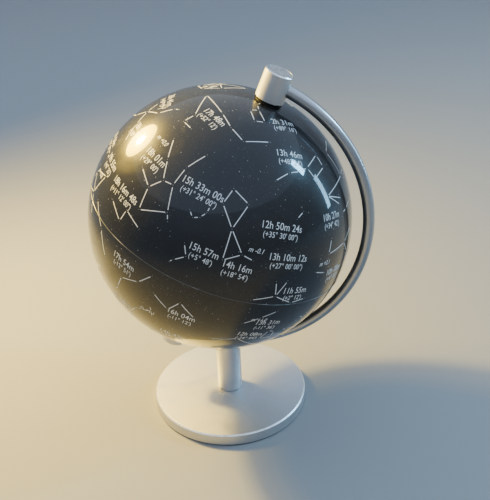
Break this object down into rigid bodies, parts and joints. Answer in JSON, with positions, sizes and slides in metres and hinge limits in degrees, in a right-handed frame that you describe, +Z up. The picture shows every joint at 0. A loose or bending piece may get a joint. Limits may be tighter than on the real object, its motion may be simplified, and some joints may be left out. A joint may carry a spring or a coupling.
{
  "type": "desktop star globe on stand",
  "caption": "Glossy black star globe that spins between two knobs on a half-circle metal arm, on a round post and base.",
  "frame": {"origin": "centre of the pad's underside, where the stand rests on the desk", "axes": "+Z up, the arm bends in the XZ plane with its bow and the top of the globe's axis towards +X, the front looks along +Y"},
  "size_m": [0.1245, 0.115, 0.1671],
  "materials": {
    "blasted_aluminium": "fine bead-blasted and clear anodised",
    "black_lacquer": "high-gloss black lacquer with white line print",
    "black_nylon": "moulded, slightly waxy",
    "grey_plastic": "moulded",
    "black_rubber": "matt, fine-grained",
    "bright_steel": "turned and ground",
    "zinc_steel": "zinc plated",
    "black_steel": "blackened"
  },
  "bodies": {
    "stand": {"base_disc": "blasted_aluminium", "base_pad": "black_rubber", "base_screw": "zinc_steel", "post": "blasted_aluminium", "arm_screw": "zinc_steel", "meridian_arm": "blasted_aluminium", "north_knob": "blasted_aluminium", "north_knob_cap": "blasted_aluminium", "north_grub_screw": "black_steel", "north_pivot_pin": "bright_steel", "north_thrust_washer": "black_nylon", "south_knob": "blasted_aluminium", "south_knob_cap": "blasted_aluminium", "south_grub_screw": "black_steel", "south_pivot_screw": "bright_steel", "south_spring_washer": "bright_steel", "south_thrust_washer": "black_nylon"},
    "globe": {"globe_north_half": "black_lacquer", "globe_south_half": "black_lacquer", "equator_joining_ring": "grey_plastic", "north_bush": "black_nylon", "south_bush": "black_nylon"}
  },
  "joints": [
    {"name": "globe_spin", "type": "hinge", "parent": "stand", "child": "globe", "pos_m": [0, 0, 0.1], "axis": [0.3827, 0, 0.9239], "continuous": true}
  ]
}
